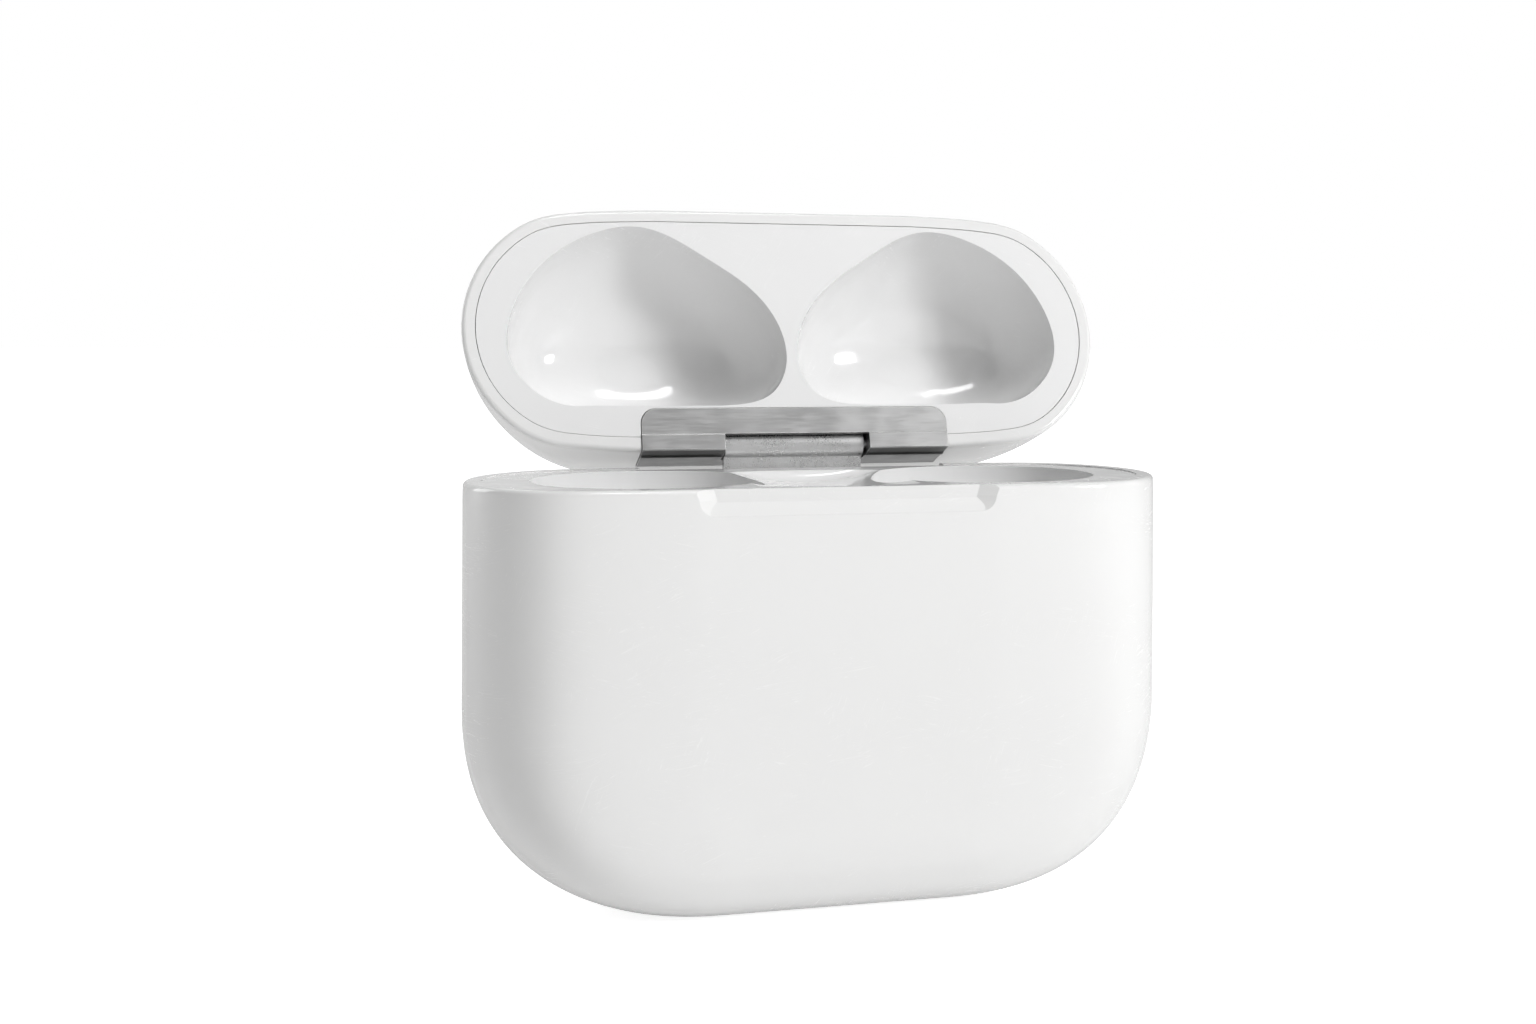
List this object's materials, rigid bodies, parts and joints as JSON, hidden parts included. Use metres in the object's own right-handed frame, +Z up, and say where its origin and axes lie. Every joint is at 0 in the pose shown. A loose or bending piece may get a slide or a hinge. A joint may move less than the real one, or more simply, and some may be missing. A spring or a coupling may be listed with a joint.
{
  "type": "wireless earbuds charging case",
  "caption": "Pocket charging case for wireless earbuds: rounded white body with wells for the earbuds and a flip lid on a steel hinge, lid open.",
  "frame": {"origin": "middle of the flat base the case stands on", "axes": "+X to the right seen from the front, along the case's width; -Y towards the front (the finger notch side), +Y towards the hinge; +Z up"},
  "size_m": [0.0544, 0.0372, 0.0535],
  "materials": {
    "body_gloss_white": "gloss",
    "lid_gloss_white": "gloss",
    "cradle_white": "gloss",
    "liner_white": "gloss",
    "button_white": "gloss",
    "hinge_steel_body": "satin",
    "hinge_steel_lid": "satin",
    "pin_steel": "satin",
    "battery_pouch": "satin",
    "small_board_green": "matte",
    "board_green": "matte",
    "flex_amber": "satin",
    "shield_steel": "satin",
    "chip_black": "matte",
    "led_package": "gloss",
    "light_guide_clear": "gloss",
    "coil_copper": "satin",
    "ferrite_grey": "matte",
    "magnet_nickel": "satin",
    "lid_magnet_nickel": "satin",
    "contact_gold": "polished",
    "switch_steel": "satin",
    "port_steel": "satin",
    "port_tongue_black": "matte"
  },
  "bodies": {
    "body": {"body_shell": "body_gloss_white", "earbud_cradle": "cradle_white", "hinge_body_bracket": "hinge_steel_body", "hinge_pin": "pin_steel", "battery_cell": "battery_pouch", "battery_guard_board": "small_board_green", "battery_flex": "flex_amber", "logic_board": "board_green", "board_shield": "shield_steel", "board_chips": "chip_black", "status_led": "led_package", "led_light_guide": "light_guide_clear", "charging_coil": "coil_copper", "coil_ferrite_sheet": "ferrite_grey", "alignment_magnets": "magnet_nickel", "body_closing_magnet": "magnet_nickel", "earbud_holding_magnets": "magnet_nickel", "lid_hall_sensor": "chip_black", "charge_contacts_left": "contact_gold", "charge_contacts_right": "contact_gold", "button_dome_switch": "switch_steel", "button_bracket": "shield_steel", "port_shell": "port_steel", "port_tongue": "port_tongue_black", "port_contacts": "contact_gold", "port_bracket": "port_steel", "port_flex": "flex_amber"},
    "lid": {"lid_shell": "lid_gloss_white", "lid_liner": "liner_white", "hinge_lid_leaf": "hinge_steel_lid", "lid_closing_magnet": "lid_magnet_nickel"},
    "button": {"pairing_button": "button_white"}
  },
  "joints": [
    {"name": "lid_hinge", "type": "hinge", "parent": "body", "child": "lid", "pos_m": [0, 0.0097, 0.0338], "axis": [1, 0, 0], "range_deg": [0, 110]},
    {"name": "pairing_button_press", "type": "slide", "parent": "body", "child": "button", "axis": [0, -1, 0], "range_m": [0, 0.0003], "stiffness_N_per_m": 1000}
  ]
}
